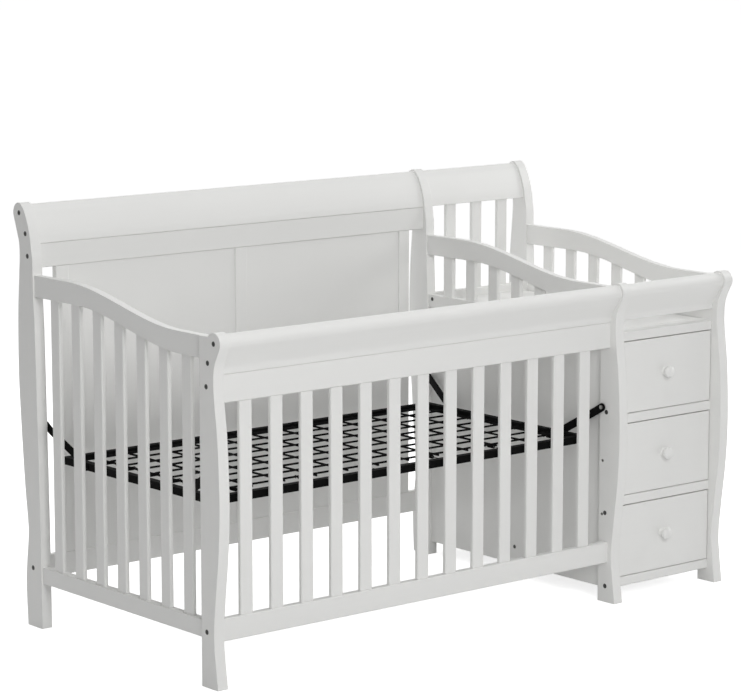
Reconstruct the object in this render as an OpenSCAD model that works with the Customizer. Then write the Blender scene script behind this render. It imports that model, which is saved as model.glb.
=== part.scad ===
// Crib with an attached changer: a sleigh-shaped crib and a chest of three
// drawers under a changing tray, sharing one pair of middle posts.
// Millimetres, +X to the right seen from the front, +Y to the back, +Z up.

/* [Overall] */
// Clear length of the crib between its end posts
crib_in = 1330; // [1200:5:1400]
// Clear width between the front and the back posts
depth_in = 717; // [640:1:760]
// Clear width of the chest between its posts
chest_in = 365; // [320:1:460]
// Number of front slats
front_slat_count = 13; // [9:1:13]
// Number of slats in each end
end_slat_count = 7; // [5:1:7]

/* [Posts] */
// Thickness of a post, seen from the front
post_t = 31; // [28:0.5:34]
// Depth of a front post at its foot
post_d = 65; // [60:1:70]
// Depth of a back post at its foot
back_foot_d = 68; // [62:1:74]
// Height of the middle of the curl on a front post
front_curl_z = 867; // [820:1:920]
// Height of the middle of the curl on a back post
back_curl_z = 1111; // [1060:1:1160]
// Radius of the round head of a post
curl_r = 27; // [25:0.5:30]
// How far behind the foot's front edge the front curl is centred
front_curl_y = 6.5; // [3:0.5:10]
// How far behind the foot's front edge the back curl is centred
back_curl_y = 76; // [70:1:82]

/* [Crib front and back] */
// Thickness of the front rails
rail_t = 22; // [20:0.5:25]
// How far the front rails sit behind the foot's front edge
rail_y = 29; // [27:0.5:32]
// Thickness of the boards of the back
back_rail_t = 19.5; // [18:0.5:22]
// How far the back boards sit behind the back foot's front edge
back_rail_y = 30; // [27:0.5:34]
// Height of the bottom edge of the front bottom rail
front_low_z = 113; // [90:1:140]
// Height of the front bottom rail itself
front_low_h = 58; // [45:1:70]
// Height of the bottom edge of the front top board
front_board_z = 713; // [690:1:730]
// Height of the front top board itself
front_board_h = 72; // [60:1:78]
// Height of the bottom edge of the headboard's bottom rail
back_low_z = 130; // [100:1:160]
// Height of the headboard's bottom rail itself
back_low_h = 62; // [50:1:75]
// How far the headboard's top board hangs below the centre of the curl, to its bottom edge
back_board_drop = 144; // [130:1:170]
// Height of the headboard's top board itself
back_board_h = 65; // [55:1:72]
// Radius of the roll along a crest
roll_r = 21.5; // [19:0.5:24]
// How far a crest stands in front of the board under it
crest_lip = 1.5; // [0.5:0.5:6]
// Width of a headboard stile
stile_w = 40; // [34:1:50]
// Open gap between a stile and the post beside it
stile_gap = 52; // [40:1:58]
// Thickness of a headboard panel
panel_t = 6; // [5:0.5:8]
// How far a panel lies behind the front of the frame round it
panel_inset = 3; // [2:0.5:8]
// How far a panel's edge goes into its groove
groove_d = 6; // [4:0.5:8]

/* [Slats] */
// Width of a slat
slat_w = 39; // [34:0.5:44]
// Thickness of a slat
slat_t = 12; // [10:0.5:14]
// Gap between two front slats
front_slat_gap = 57.3; // [50:0.1:59]
// Gap between two slats of an end
end_slat_gap = 57.4; // [50:0.1:59]
// Number of slats in the back of the changer
changer_slat_count = 3; // [2:1:4]
// Depth of the mortise that holds the end of a slat
mortise_d = 12; // [8:1:16]
// Clearance around a slat in its mortise
fit_gap = 0.3; // [0.2:0.05:0.5]
// Width of the eased edge on slats and boards
ease = 2; // [1:0.5:3]

/* [Ends] */
// Thickness of the rails of an end
end_rail_t = 23; // [20:0.5:26]
// How far an end's rails sit inside the post's outer face
end_inset = 5; // [2:0.5:7]
// Clear height between the changer's guard rails and the curved top rails, at the front
end_clear = 47.5; // [40:0.5:52]
// How much higher a curved top rail ends at the back than at the front
end_rise = 69; // [40:1:90]
// Depth of the curved top rail at its ends
end_rail_h = 57.5; // [50:0.5:65]
// Height of the bottom edge of the left end's bottom rail
end_low_z = 124; // [100:1:150]
// Height of the left end's bottom rail itself
end_low_h = 44; // [38:1:60]

/* [Changer and chest] */
// Height of the changing surface
tray_z = 752; // [720:1:770]
// Thickness of the changing surface
tray_t = 18; // [15:1:22]
// Height of the bottom edge of the chest
chest_z = 37.5; // [30:0.5:60]
// Height of each cross rail in the chest's front
cross_h = 27; // [24:0.5:32]
// Depth of the cross rails from front to back
cross_d = 45; // [35:1:60]
// Height of the rails that guard the changing surface
guard_h = 36; // [30:1:45]
// How far the guard rails stand above the changing surface
guard_rise = 24; // [18:1:30]
// Thickness of a side panel of the chest
side_t = 19; // [16:0.5:21]
// Thickness of the chest's back panel
back_panel_t = 6; // [4:0.5:9]
// Thickness of the chest's bottom board
bottom_t = 12; // [9:0.5:15]
// Side of the square cleats under the changing surface
cleat = 19; // [15:1:22]

/* [Drawers] */
// Gap around a drawer's front
drawer_gap = 2; // [1.5:0.1:3]
// Thickness of a drawer's front
front_t = 19; // [16:0.5:22]
// Thickness of a drawer's sides and back
box_t = 12; // [10:0.5:15]
// Height of a drawer's sides
box_h = 140; // [100:1:150]
// How far a drawer's sides start above its front's bottom edge
box_rise = 26; // [22:1:30]
// Depth of a drawer box behind its front
box_d = 560; // [450:5:600]
// Thickness of a drawer's bottom
base_t = 5; // [4:0.5:6]
// How far a drawer slides out
travel = 400; // [300:10:400]
// Radius of a knob's round head
knob_r = 17; // [12:0.5:19]
// How far a knob stands out from the drawer's front
knob_l = 28.5; // [22:0.5:32]
// How far a knob sits above the middle of its drawer
knob_rise = 3; // [-10:1:20]

/* [Runners] */
// Space between a drawer's side and the chest's side
runner_space = 12.7; // [12.5:0.1:14]
// Length of a runner
runner_l = 550; // [450:5:580]
// Height of the fixed channel
channel_h = 34; // [32:0.5:36]
// Thickness of the runners' steel
steel_t = 1.2; // [1:0.1:1.5]
// Radius of a runner's wheel
wheel_r = 9.5; // [9:0.1:10]

/* [Mattress support] */
// Height of the top edge of the steel frame
deck_z = 466; // [440:1:480]
// Clearance between the steel frame and the end posts
deck_gap_x = 27.7; // [20:0.1:32]
// Clearance between the steel frame and the posts' inner edges
deck_gap_y = 25; // [15:1:35]
// Leg of the steel angle
angle_w = 20; // [18:1:26]
// Thickness of the steel angle
angle_t = 3; // [2.5:0.5:4]
// Thickness of the grid's wires
wire_d = 5.5; // [4:0.5:6.5]
// Number of long wires in the grid
long_count = 9; // [5:1:9]
// Distance from the steel frame's front or back edge to the first long wire
long_side = 67.9; // [58:0.1:78]
// Number of cross wires in the grid
cross_count = 12; // [8:1:12]
// Distance from the steel frame's end to the first cross wire
cross_side = 65.85; // [60:0.05:76]
// Number of coil springs along the front and along the back
link_count = 6; // [3:1:6]
// Distance from the steel frame's end to the first of them
link_side = 94.8; // [80:0.1:200]
// Number of coil springs along each end
end_link_count = 5; // [3:1:5]
// Distance from the frame's edges to the row's ends, before it steps aside from the long wires
end_link_side = 134.5; // [130:0.1:140]
// Radius of a coil spring
link_r = 5; // [4:0.5:5.5]
// Length of a coil spring's coiled part
link_l = 28; // [20:1:30]
// How deep the crossing wires are welded into each other
weld = 0.8; // [0.4:0.1:1]
// Width of a hanger strap
strap_w = 22; // [18:1:26]
// Thickness of a hanger strap
strap_t = 3; // [2:0.5:4]
// How far a hanger reaches along the frame
strap_run = 150; // [120:1:160]
// How far the hanger's bolt lies above the frame's rivet
strap_rise = 91; // [70:1:100]
// Distance between the heights at which the support can hang
hang_step = 150; // [120:1:155]

/* [Fasteners] */
// Radius of a bolt's shank
bolt_r = 3; // [2.5:0.1:3.5]
// Radius of a bolt's head
head_r = 6.5; // [5.5:0.1:7]
// Height of a bolt's head
head_h = 4; // [3:0.5:5]
// Radius across the corners of the hexagonal socket in a bolt's head
socket_r = 3.2; // [2:0.1:4]
// Depth of the socket
socket_d = 2.5; // [1.5:0.1:3]
// How far a bolt goes into a rail
bolt_in = 42; // [36:1:50]
// Clearance around a bolt in its hole
bolt_gap = 0.3; // [0.2:0.05:0.5]
// Radius of a barrel nut
nut_r = 5; // [4.5:0.1:5.5]
// Depth of a spare hole for a hanger's bolt
blind_d = 22; // [15:1:24]

/* [Hidden] */
$fn = 48;

// Places along X, from the outer face of the left posts
x_crib = post_t;
x_mid = x_crib + crib_in;
x_chest = x_mid + post_t;
x_right = x_chest + chest_in;
total_l = x_right + post_t;

// Places along Y, from the front edge of the front feet
y_back = post_d + depth_in;
y_back_rail = y_back + back_rail_y;
y_low = front_curl_y - curl_r;
y_high = y_back + back_curl_y + curl_r;
y_origin = (y_low + y_high) / 2;

// Heights that follow from others
back_board_z = back_curl_z - back_board_drop;
guard_z = tray_z + guard_rise - guard_h;
end_front_z = guard_z + guard_h + end_clear + end_rail_h;
end_back_z = end_front_z + end_rise;

// Colours as the photograph shows them
paint = "whitesmoke";
black_steel = [0.1, 0.1, 0.1];
dark_steel = [0.25, 0.23, 0.2];
bright_steel = "silver";

// The edges of the posts: [place from the foot's front edge, share of the curl's height]
front_post_edge = [[-1, 0], [9, 0.085], [14, 0.165], [4, 0.283], [-8, 0.404], [-13, 0.542],
                   [-7, 0.715], [6, 0.842], [8, 0.89], [3, 0.937]];
back_post_edge_a = [[0, 0], [2, 0.27], [7, 0.54], [11, 0.72], [16, 0.81], [17, 0.886],
                    [21, 0.914], [30, 0.96]];
back_post_edge_b = [[97, 0.98], [86, 0.952], [78, 0.93], [76, 0.9], [80, 0.85], [88, 0.76],
                    [91, 0.63], [86, 0.525], [72, 0.355], [60, 0.26], [59, 0.22], [68, 0.157],
                    [73, 0.1]];
curve_steps = 5;

// Where bolts run along X through a post: [y, z]
front_bolts = [[front_curl_y, front_curl_z],
               [rail_y + 2, front_board_z + front_board_h + 32],
               [rail_y + 0.4 * rail_t, front_board_z + front_board_h / 2 + 9],
               [rail_y + 0.65 * rail_t, front_low_z + front_low_h / 2]];
back_bolts = [[y_back + back_curl_y, back_curl_z],
              [y_back_rail + 18, back_board_z + back_board_h + 26],
              [y_back_rail + back_rail_t / 2, back_board_z + back_board_h / 2],
              [y_back_rail + back_rail_t / 2, back_low_z + back_low_h / 2]];
chest_front_bolts = [front_bolts[0], front_bolts[1],
                     [rail_y + cross_d / 2, tray_z - cross_h / 2],
                     [rail_y + cross_d / 2, chest_z + cross_h / 2]];
chest_back_bolts = [back_bolts[0], back_bolts[1],
                    [y_back_rail + back_rail_t / 2, guard_z + guard_h / 2]];

// Where a bolt runs from the crib's side through the middle post into the chest
apron_bolt = [rail_y + 8, chest_z + 8];
// Screws through the chest's left side, seen from the crib
side_screws = [[y_back - 6, guard_z + guard_h - 12], [y_back - 0.505 * depth_in, chest_z + 49]];

// Where the mattress support hangs
rivet_z = deck_z - angle_w / 2;
hang_z = rivet_z + strap_rise;
hang_front_y = post_d - 13;
hang_back_y = y_back + 16;
rivet_front_y = hang_front_y + strap_run;
rivet_back_y = hang_back_y - strap_run;
hang_heights = [hang_z, hang_z - hang_step, hang_z - 2 * hang_step];
deck_x0 = x_crib + deck_gap_x;
deck_x1 = x_mid - deck_gap_x;
deck_y0 = post_d + deck_gap_y;
deck_y1 = y_back - deck_gap_y;
deck_l = deck_x1 - deck_x0;
deck_w = deck_y1 - deck_y0;
mid_x = (deck_x0 + deck_x1) / 2;
mid_y = (deck_y0 + deck_y1) / 2;
long_pitch = (deck_w - 2 * long_side) / (long_count - 1);
cross_pitch = (deck_l - 2 * cross_side) / (cross_count - 1);
link_pitch = (deck_l - 2 * link_side) / (link_count - 1);
end_link_pitch = (deck_w - 2 * end_link_side) / (end_link_count - 1);
grid_z = deck_z - 2;
long_z = grid_z + (wire_d - weld) / 2;
cross_z = grid_z - (wire_d - weld) / 2;
rivet_r = 4;
strap_hole_r = 3.5;
hang_head_r = 5.5;
hang_gap = 3.5;
insert_r = 4.2;
insert_l = 13;
collar_r = 7;
joggle = deck_gap_x - hang_gap - strap_t;
hook_r = 1.2;
hook_gap = 0.3;
hook_lap = 8;

// Chest and drawer places
cell_h = (tray_z - chest_z - 4 * cross_h) / 3;
drawer_front_h = cell_h - 2 * drawer_gap;
drawer_front_w = chest_in - 2 * drawer_gap;
box_w = chest_in - 2 * runner_space;
box_x = x_chest + runner_space;
box_y = rail_y + front_t;
runner_y = box_y + 4;
knob_screw_r = 2;
// Thickness of a glue line between two boards
glue = 0.1;

// ---------- helpers ----------

// A point of a smooth curve through four knots
function between(a, b, c, d, t) =
    0.5 * (2 * b + (c - a) * t + (2 * a - 5 * b + 4 * c - d) * t * t
           + (3 * b - a - 3 * c + d) * t * t * t);

// A smooth curve through a list of knots
function smooth(k, n) = concat(
    [for (i = [0 : len(k) - 2], s = [0 : n - 1])
        between(k[max(i - 1, 0)], k[i], k[i + 1], k[min(i + 2, len(k) - 1)], s / n)],
    [k[len(k) - 1]]);

// Knots given as [y, share of the height], set at a foot and a height
function placed(k, y0, h) = [for (p = k) [y0 + p[0], p[1] * h]];

// A rise from 0 to 1 that starts and ends level
function ramp(t) = let(u = min(max(t, 0), 1)) u * u * (3 - 2 * u);

// Moves the crib's own places to the middle of the whole footprint
module seated() {
    translate([-total_l / 2, -y_origin, 0]) children();
}

// Stretches an outline drawn in the YZ plane along X
module along_x(x0, length) {
    translate([x0, 0, 0]) rotate([90, 0, 90]) linear_extrude(length) children();
}

// A rod along X
module rod_x(x0, length, y, z, r) {
    translate([x0, y, z]) rotate([0, 90, 0]) cylinder(h = length, r = r);
}

// A rectangle with eased corners
module eased_outline(w, h) {
    polygon([[ease, 0], [w - ease, 0], [w, ease], [w, h - ease],
             [w - ease, h], [ease, h], [0, h - ease], [0, ease]]);
}

// A board along X with eased long edges
module board_x(x0, length, y, z, t, h) {
    along_x(x0, length) translate([y, z]) eased_outline(t, h);
}

// ---------- posts ----------

// The curl at the head of a back post or crest, from its front face over the top to its rear
function curl(r) = [for (p = [[-1, 0.04], [-0.48, 0.67], [0, 1], [0.68, 0.73], [1, 0]])
    [y_back + back_curl_y + p[0] * r, back_curl_z + p[1] * r]];

// Points on the round head of a front post or crest, from its underside over the top
function head(r, a0, a1) = [for (a = [a0 : -10 : a1])
    [front_curl_y + r * cos(a), front_curl_z + r * sin(a)]];

module front_post_outline() {
    polygon(concat(
        smooth(concat(placed(front_post_edge, 0, front_curl_z), [head(curl_r, 205, 205)[0]]),
               curve_steps),
        head(curl_r, 195, 35),
        [[post_d, end_front_z], [post_d, 0]]));
}

module back_post_outline() {
    polygon(smooth(concat(placed(back_post_edge_a, y_back, back_curl_z),
        curl(curl_r), placed(back_post_edge_b, y_back, back_curl_z),
        [[y_back + back_foot_d, 0]]), curve_steps));
}

// Bolt holes through a post; the heads lie in wider pits on the side "pit" (-1 left, 1 right)
module bolt_holes(x0, spots, pit) {
    for (s = spots) {
        rod_x(x0 - 1, post_t + 2, s[0], s[1], bolt_r + bolt_gap);
        rod_x(pit < 0 ? x0 - 1 : x0 + post_t - head_h, head_h + 1, s[0], s[1],
              head_r + bolt_gap);
    }
}

// Blind holes for the hanger's bolt, on the side "face" (-1 left, 1 right) of a post, each
// wider at its mouth for a threaded insert
module hang_holes(x0, y, face) {
    for (z = hang_heights) {
        rod_x(face < 0 ? x0 - 1 : x0 + post_t - blind_d, blind_d + 1, y, z,
              bolt_r + bolt_gap);
        rod_x(face < 0 ? x0 - 1 : x0 + post_t - insert_l - fit_gap, insert_l + fit_gap + 1,
              y, z, insert_r + 0.1);
    }
}

module post_front_left() {
    color(paint) seated() difference() {
        along_x(0, post_t) front_post_outline();
        bolt_holes(0, front_bolts, -1);
        hang_holes(0, hang_front_y, 1);
    }
}

module post_front_middle() {
    color(paint) seated() difference() {
        along_x(x_mid, post_t) front_post_outline();
        bolt_holes(x_mid, front_bolts, 1);
        bolt_holes(x_mid, [apron_bolt], -1);
        hang_holes(x_mid, hang_front_y, -1);
    }
}

module post_front_right() {
    color(paint) seated() difference() {
        along_x(x_right, post_t) front_post_outline();
        bolt_holes(x_right, chest_front_bolts, 1);
    }
}

module post_back_left() {
    color(paint) seated() difference() {
        along_x(0, post_t) back_post_outline();
        bolt_holes(0, back_bolts, -1);
        hang_holes(0, hang_back_y, 1);
    }
}

module post_back_middle() {
    color(paint) seated() difference() {
        along_x(x_mid, post_t) back_post_outline();
        bolt_holes(x_mid, back_bolts, 1);
        hang_holes(x_mid, hang_back_y, -1);
    }
}

module post_back_right() {
    color(paint) seated() difference() {
        along_x(x_right, post_t) back_post_outline();
        bolt_holes(x_right, chest_back_bolts, 1);
    }
}

// ---------- ends ----------

end_y = [for (i = [0 : 24]) post_d + i * (depth_in + 20) / 24];
function top_edge(y) = end_front_z
    + (end_back_z - end_front_z) * ramp((y - post_d - 0.146 * depth_in) / (0.656 * depth_in));
function bottom_edge(y) = end_front_z - end_rail_h + 1
    + (end_back_z - end_front_z) * ramp((y - post_d - 0.119 * depth_in) / (0.628 * depth_in));

// Places of an end's slats: the front edge of each
end_margin = (depth_in - end_slat_count * slat_w - (end_slat_count - 1) * end_slat_gap) / 2;
end_slat_y = [for (i = [0 : end_slat_count - 1])
    post_d + end_margin + i * (slat_w + end_slat_gap)];

module end_slat_bar(x0, y, z0, z1, gap) {
    translate([x0 + end_inset + (end_rail_t - slat_t) / 2 - gap, y - gap, z0 - gap])
        linear_extrude(z1 - z0 + 2 * gap)
            if (gap > 0) square([slat_t + 2 * gap, slat_w + 2 * gap]);
            else eased_outline(slat_t, slat_w);
}

module end_slat_set(x0, z0, gap) {
    for (y = end_slat_y)
        end_slat_bar(x0, y, z0 - mortise_d, bottom_edge(y) + mortise_d, gap);
}

module end_top_rail(x0) {
    difference() {
        along_x(x0 + end_inset, end_rail_t) difference() {
            polygon(concat([for (y = end_y) [y, top_edge(y)]],
                [for (i = [len(end_y) - 1 : -1 : 0]) [end_y[i], bottom_edge(end_y[i])]]));
            back_post_outline();
        }
        end_slat_set(x0, tray_z, fit_gap);
    }
}

module straight_end_rail(x0, z, h) {
    difference() {
        along_x(x0 + end_inset, end_rail_t) difference() {
            translate([post_d, z]) square([depth_in + 20, h]);
            back_post_outline();
        }
        end_slat_set(x0, z + h, fit_gap);
    }
}

module left_end_top_rail() {
    color(paint) seated() end_top_rail(0);
}

module middle_end_top_rail() {
    color(paint) seated() end_top_rail(x_mid);
}

// The right end is the left one turned round: its rails sit near the outer face
module right_end_top_rail() {
    color(paint) seated() end_top_rail(x_right + post_t - 2 * end_inset - end_rail_t);
}

module left_end_bottom_rail() {
    color(paint) seated() straight_end_rail(0, end_low_z, end_low_h);
}

module middle_end_guard_rail() {
    color(paint) seated() difference() {
        straight_end_rail(x_mid, guard_z, guard_h);
        side_screw(x_mid + end_inset, side_screws[0], bolt_gap);
    }
}

module right_end_guard_rail() {
    color(paint) seated() straight_end_rail(x_right + post_t - 2 * end_inset - end_rail_t,
        guard_z, guard_h);
}

module left_end_slats() {
    color(paint) seated() end_slat_set(0, end_low_z + end_low_h, 0);
}

module middle_end_slats() {
    color(paint) seated() end_slat_set(x_mid, guard_z + guard_h, 0);
}

module right_end_slats() {
    color(paint) seated()
        end_slat_set(x_right + post_t - 2 * end_inset - end_rail_t, guard_z + guard_h, 0);
}

// ---------- crib front ----------

front_span = front_slat_count * slat_w + (front_slat_count - 1) * front_slat_gap;
front_slat_x = [for (i = [0 : front_slat_count - 1])
    x_crib + (crib_in - front_span) / 2 + i * (slat_w + front_slat_gap)];

// An upright slat between two levels; a gap above 0 draws the mortise that takes it
module upright_slat(x, y_mid, z0, z1, gap) {
    translate([x - gap, y_mid - slat_t / 2 - gap, z0 - mortise_d - gap])
        linear_extrude(z1 - z0 + 2 * mortise_d + 2 * gap)
            if (gap > 0) square([slat_w + 2 * gap, slat_t + 2 * gap]);
            else eased_outline(slat_w, slat_t);
}

module front_slat_set(gap) {
    for (x = front_slat_x)
        upright_slat(x, rail_y + rail_t / 2, front_low_z + front_low_h, front_board_z, gap);
}

module front_crest_outline() {
    z0 = front_board_z + front_board_h;
    rise = front_curl_z - z0;
    polygon(concat(
        smooth([[rail_y - crest_lip, z0], [rail_y - crest_lip - 3, z0 + 0.2 * rise],
                [rail_y - 20, z0 + 0.5 * rise], head(roll_r, 215, 215)[0]], curve_steps),
        head(roll_r, 205, 5),
        smooth([head(roll_r, -5, -5)[0], [rail_y + 0.6 * rail_t, z0 + 0.55 * rise],
                [rail_y + rail_t, z0 + 0.2 * rise], [rail_y + rail_t, z0]], curve_steps)));
}

module front_crest() {
    color(paint) seated() difference() {
        along_x(x_crib, crib_in) front_crest_outline();
        rail_bolt_holes(x_crib, x_mid, [front_bolts[0], front_bolts[1]]);
    }
}

// Holes for bolts in both ends of a rail
module rail_bolt_holes(x0, x1, spots) {
    for (s = spots) {
        rod_x(x0 - 1, bolt_in + 2, s[0], s[1], bolt_r + bolt_gap);
        rod_x(x1 - bolt_in - 1, bolt_in + 2, s[0], s[1], bolt_r + bolt_gap);
    }
}

// Where a barrel nut crosses a bolt, counted from the rail's end
nut_x = 30;

// Pits for the barrel nuts, open at the rail's rear face
module nut_pits(x0, x1, spot, y_face) {
    depth = y_face - spot[0] + nut_r;
    for (x = [x0 + nut_x, x1 - nut_x])
        translate([x, y_face - depth, spot[1]]) rotate([-90, 0, 0])
            cylinder(h = depth + 1, r = nut_r + bolt_gap);
}

module front_top_board() {
    color(paint) seated() difference() {
        board_x(x_crib, crib_in, rail_y, front_board_z, rail_t, front_board_h);
        front_slat_set(fit_gap);
        rail_bolt_holes(x_crib, x_mid, [front_bolts[2]]);
        nut_pits(x_crib, x_mid, front_bolts[2], rail_y + rail_t);
    }
}

module front_slats() {
    color(paint) seated() front_slat_set(0);
}

module front_bottom_rail() {
    color(paint) seated() difference() {
        board_x(x_crib, crib_in, rail_y, front_low_z, rail_t, front_low_h);
        front_slat_set(fit_gap);
        rail_bolt_holes(x_crib, x_mid, [front_bolts[3]]);
        nut_pits(x_crib, x_mid, front_bolts[3], rail_y + rail_t);
    }
}

// ---------- headboard ----------

module back_crest_outline() {
    z0 = back_board_z + back_board_h;
    rise = back_curl_z - z0;
    polygon(smooth(concat(
        [[y_back_rail - 1, z0], [y_back_rail + 1.5, z0 + 0.22 * rise],
         [y_back_rail + 6, z0 + 0.44 * rise], [y_back_rail + 14, z0 + 0.73 * rise]],
        curl(roll_r),
        [[y_back_rail + 59, z0 + 0.77 * rise], [y_back_rail + 37, z0 + 0.36 * rise],
         [y_back_rail + back_rail_t, z0]]), curve_steps));
}

module headboard_crest() {
    color(paint) seated() difference() {
        along_x(x_crib, crib_in) back_crest_outline();
        rail_bolt_holes(x_crib, x_mid, [back_bolts[0], back_bolts[1]]);
    }
}

stile_x = [x_crib + stile_gap, x_crib + (crib_in - stile_w) / 2, x_mid - stile_gap - stile_w];
panel_z0 = back_low_z + back_low_h;
panel_z1 = back_board_z;

// The two recessed panels; a gap above 0 draws the grooves that take their edges
module panel_set(gap) {
    for (i = [0, 1])
        translate([stile_x[i] + stile_w - groove_d - gap,
                   y_back_rail + panel_inset - gap,
                   panel_z0 - groove_d - gap])
            cube([stile_x[i + 1] - stile_x[i] - stile_w + 2 * groove_d + 2 * gap,
                  panel_t + 2 * gap,
                  panel_z1 - panel_z0 + 2 * groove_d + 2 * gap]);
}

module headboard_top_board() {
    color(paint) seated() difference() {
        board_x(x_crib, crib_in, y_back_rail, back_board_z, back_rail_t, back_board_h);
        panel_set(fit_gap);
        rail_bolt_holes(x_crib, x_mid, [back_bolts[2]]);
        nut_pits(x_crib, x_mid, back_bolts[2], y_back_rail + back_rail_t);
    }
}

module headboard_bottom_rail() {
    color(paint) seated() difference() {
        board_x(x_crib, crib_in, y_back_rail, back_low_z, back_rail_t, back_low_h);
        panel_set(fit_gap);
        rail_bolt_holes(x_crib, x_mid, [back_bolts[3]]);
        nut_pits(x_crib, x_mid, back_bolts[3], y_back_rail + back_rail_t);
    }
}

module headboard_stiles() {
    color(paint) seated() difference() {
        for (x = stile_x)
            translate([x, y_back_rail, panel_z0])
                linear_extrude(panel_z1 - panel_z0) eased_outline(stile_w, back_rail_t);
        panel_set(fit_gap);
    }
}

module headboard_panels() {
    color(paint) seated() panel_set(0);
}

// ---------- changer ----------

module changer_front_crest() {
    color(paint) seated() difference() {
        along_x(x_chest, chest_in) front_crest_outline();
        for (s = [front_bolts[0], front_bolts[1]])
            rod_x(x_right - bolt_in - 1, bolt_in + 2, s[0], s[1], bolt_r + bolt_gap);
    }
}

changer_slat_space = (chest_in - changer_slat_count * slat_w) / (changer_slat_count + 1);

module changer_slat_set(gap) {
    for (i = [0 : changer_slat_count - 1])
        upright_slat(x_chest + changer_slat_space + i * (slat_w + changer_slat_space),
            y_back_rail + back_rail_t / 2, guard_z + guard_h,
            back_board_z + back_board_h, gap);
}

module changer_back_crest() {
    color(paint) seated() difference() {
        along_x(x_chest, chest_in) back_crest_outline();
        changer_slat_set(fit_gap);
        for (s = [back_bolts[0], back_bolts[1]])
            rod_x(x_right - bolt_in - 1, bolt_in + 2, s[0], s[1], bolt_r + bolt_gap);
    }
}

module changer_back_slats() {
    color(paint) seated() changer_slat_set(0);
}

module changer_back_rail() {
    s = chest_back_bolts[2];
    color(paint) seated() difference() {
        board_x(x_chest, chest_in, y_back_rail, guard_z,
                back_rail_t, guard_h);
        changer_slat_set(fit_gap);
        rod_x(x_right - bolt_in - 1, bolt_in + 2, s[0], s[1], bolt_r + bolt_gap);
    }
}

module changing_tray() {
    y0 = rail_y + cross_d + fit_gap;
    color(paint) seated()
        translate([x_chest + fit_gap, y0, tray_z - tray_t])
            cube([chest_in - 2 * fit_gap, y_back_rail - y0 - fit_gap, tray_t]);
}

module tray_cleats() {
    color(paint) seated()
        for (x = [x_chest, x_right - cleat])
            translate([x, post_d + 20, tray_z - tray_t - cleat])
                cube([cleat, depth_in - 40, cleat]);
}

// ---------- chest ----------

// A short screw whose head lies flush in the crib's side of a panel; a gap draws its hole
module side_screw(x0, s, gap) {
    rod_x(x0 - gap, head_h + gap, s[0], s[1], head_r - 1 + gap);
    rod_x(x0 + head_h - gap, 10 + 2 * gap, s[0], s[1], bolt_r + gap);
}

module chest_side_panels() {
    color(paint) seated() difference() {
        for (x = [x_chest - side_t, x_right])
            along_x(x, side_t) difference() {
                translate([post_d, chest_z])
                    square([depth_in + 20, guard_z - chest_z]);
                back_post_outline();
            }
        side_screw(x_chest - side_t, side_screws[1], bolt_gap);
    }
}

module chest_back_panel() {
    color(paint) seated()
        translate([x_chest, y_back_rail + (back_rail_t - back_panel_t) / 2, chest_z])
            cube([chest_in, back_panel_t, guard_z - chest_z]);
}

module chest_cross_rails() {
    color(paint) seated() difference() {
        for (i = [0 : 3])
            board_x(x_chest, chest_in, rail_y, chest_z + i * (cell_h + cross_h),
                    cross_d, cross_h);
        for (i = [2, 3])
            rod_x(x_right - bolt_in - 1, bolt_in + 2, chest_front_bolts[i][0],
                  chest_front_bolts[i][1], bolt_r + bolt_gap);
        rod_x(x_chest - 1, bolt_in + 2, apron_bolt[0], apron_bolt[1], bolt_r + bolt_gap);
    }
}

module chest_bottom() {
    y0 = rail_y + cross_d;
    color(paint) seated()
        translate([x_chest, y0, chest_z])
            cube([chest_in, y_back_rail + (back_rail_t - back_panel_t) / 2 - y0, bottom_t]);
}

// ---------- runners ----------

// Bottom edge of drawer i's front, counted from the lowest
function drawer_z(i) = chest_z + cross_h + i * (cell_h + cross_h) + drawer_gap;
// Bottom of the fixed channel beside drawer i
function channel_z(i) = drawer_z(i) + box_rise - 10;

wheel_w = 6;
flange_w = 9.5;
wheel_play = 0.3;
fixed_wheel_z = steel_t + wheel_play + wheel_r + 3;
moving_wheel_z = steel_t + wheel_play + wheel_r;
rider_z = fixed_wheel_z + wheel_r + wheel_play;

// The fixed channel of a left runner, with its wheel at the front; z = 0 is its bottom
module fixed_runner() {
    rotate([-90, 0, 0]) mirror([0, 1, 0]) linear_extrude(runner_l) union() {
        square([steel_t, channel_h]);
        square([flange_w, steel_t]);
        translate([0, channel_h - steel_t]) square([flange_w, steel_t]);
    }
    translate([steel_t, runner_l - 2 * wheel_r - 3 - travel - 2.5, steel_t])
        cube([6, 2, 6]);
    translate([0, wheel_r + 3, fixed_wheel_z]) rotate([0, 90, 0]) {
        translate([0, 0, steel_t]) cylinder(h = 1, r = 3);
        translate([0, 0, steel_t + 1]) cylinder(h = wheel_w, r = wheel_r);
    }
}

// The moving angle of a left runner, with its wheel at the back
module moving_runner() {
    x1 = runner_space;
    rotate([-90, 0, 0]) mirror([0, 1, 0]) linear_extrude(runner_l) union() {
        translate([x1 - steel_t, rider_z]) square([steel_t, 16]);
        translate([2, rider_z]) square([x1 - 2, steel_t]);
        translate([x1 - steel_t, 1]) square([steel_t, rider_z]);
    }
    translate([0, runner_l - wheel_r - 3, moving_wheel_z]) rotate([0, 90, 0]) {
        translate([0, 0, steel_t + 1.5]) cylinder(h = wheel_w, r = wheel_r);
        translate([0, 0, steel_t + 1.5 + wheel_w])
            cylinder(h = x1 - steel_t - steel_t - 1.5 - wheel_w, r = 3);
    }
}

module runner_pair(i) {
    translate([x_chest, runner_y, channel_z(i)]) children();
    translate([x_right, runner_y, channel_z(i)]) mirror([1, 0, 0]) children();
}

module chest_runners() {
    color(bright_steel) seated()
        for (i = [0 : 2]) runner_pair(i) fixed_runner();
}

// ---------- drawers ----------

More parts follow.
